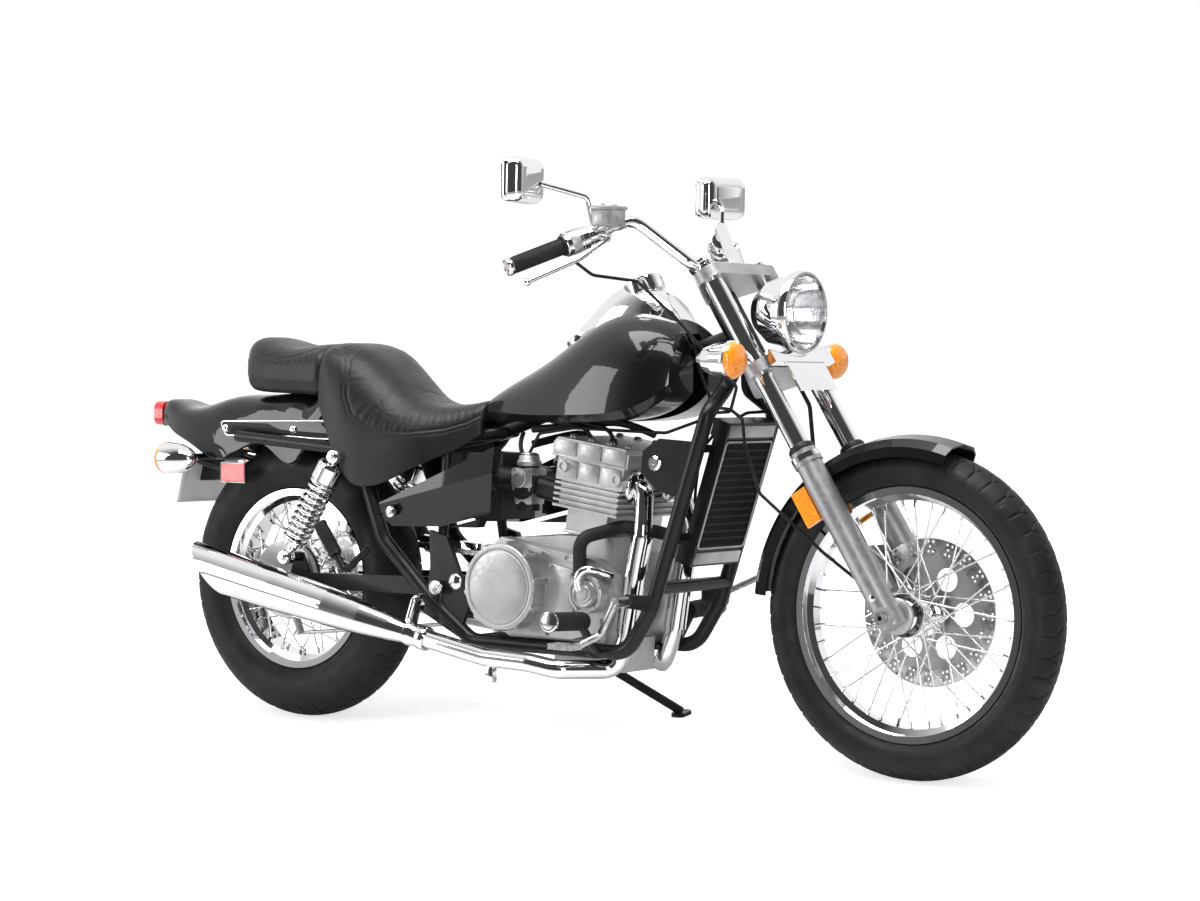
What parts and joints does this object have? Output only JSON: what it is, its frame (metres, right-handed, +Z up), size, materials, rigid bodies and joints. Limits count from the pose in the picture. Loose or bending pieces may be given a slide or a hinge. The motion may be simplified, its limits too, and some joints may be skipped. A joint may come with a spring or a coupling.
{
  "type": "cruiser motorcycle",
  "caption": "Low cruiser motorcycle with wire wheels, teardrop tank, stepped seat, twin exhausts and a turning steering head, leaning on its side stand.",
  "frame": {"origin": "on the floor under the middle of the bounding box of the parked machine", "axes": "+X forward, towards the front wheel; +Y to the left, the side it leans to and its stand is on; +Z up from the floor"},
  "size_m": [2.3766, 0.8812, 1.2822],
  "materials": {
    "tyre": "matte",
    "chrome": "polished",
    "bright_steel": "satin",
    "satin_aluminium": "satin",
    "black_metal": "semi-gloss",
    "black_paint": "gloss",
    "black_plastic": "satin",
    "grip_rubber": "matte",
    "seat_leather": "satin",
    "lamp_glass": "clear",
    "amber_lens": "gloss",
    "red_lens": "gloss"
  },
  "bodies": {
    "chassis": {"frame": "black_metal", "swingarm": "black_metal", "pivot_bolt": "bright_steel", "rear_axle": "bright_steel", "rear_brake_panel": "satin_aluminium", "shocks": "chrome", "drive_chain": "bright_steel", "chain_guard": "chrome", "crankcase": "satin_aluminium", "cylinders": "satin_aluminium", "cylinder_head": "satin_aluminium", "right_engine_cover": "satin_aluminium", "left_engine_cover": "satin_aluminium", "coolant_hose": "grip_rubber", "intake": "black_plastic", "radiator": "black_metal", "exhaust_right": "chrome", "exhaust_left": "chrome", "fuel_tank": "black_paint", "tank_console": "chrome", "rider_seat": "seat_leather", "passenger_seat": "seat_leather", "rear_fender": "black_paint", "side_covers": "black_paint", "tail_light": "red_lens", "tail_bracket": "black_metal", "foot_pegs": "black_metal", "foot_pedals": "bright_steel", "control_cables": "grip_rubber", "speedometer_cable": "grip_rubber"},
    "fork": {"fork_yokes": "satin_aluminium", "fork_tubes": "chrome", "fork_sliders": "satin_aluminium", "front_axle": "bright_steel", "handlebar": "chrome", "grips": "grip_rubber", "hand_controls": "chrome", "mirrors": "chrome", "headlight": "chrome", "headlight_lens": "lamp_glass", "front_signals": "chrome", "front_fender": "black_paint", "front_reflectors": "amber_lens", "brake_caliper": "satin_aluminium", "brake_hose": "grip_rubber"},
    "front_wheel": {"front_tyre": "tyre", "front_wheel": "chrome", "brake_disc": "bright_steel"},
    "rear_wheel": {"rear_tyre": "tyre", "rear_wheel": "chrome", "rear_sprocket": "bright_steel"},
    "side_stand": {"side_stand": "black_metal"}
  },
  "joints": [
    {"name": "steering", "type": "hinge", "parent": "chassis", "child": "fork", "pos_m": [1.007, -0.16868, 0], "axis": [-0.5446, 0.1312, 0.8283], "range_deg": [-35, 35], "deforming": ["control_cables", "speedometer_cable"]},
    {"name": "front_wheel_spin", "type": "hinge", "parent": "fork", "child": "front_wheel", "pos_m": [0.857, -0.11676, 0.32784], "axis": [0, 0.9877, -0.1564], "continuous": true},
    {"name": "rear_wheel_spin", "type": "hinge", "parent": "chassis", "child": "rear_wheel", "pos_m": [-0.738, -0.11903, 0.31349], "axis": [0, 0.9877, -0.1564], "continuous": true},
    {"name": "side_stand_fold", "type": "hinge", "parent": "chassis", "child": "side_stand", "pos_m": [-0.0005, 0.00387, 0.13061], "axis": [0.0277, 0.7137, 0.6999], "range_deg": [0, 117]}
  ]
}
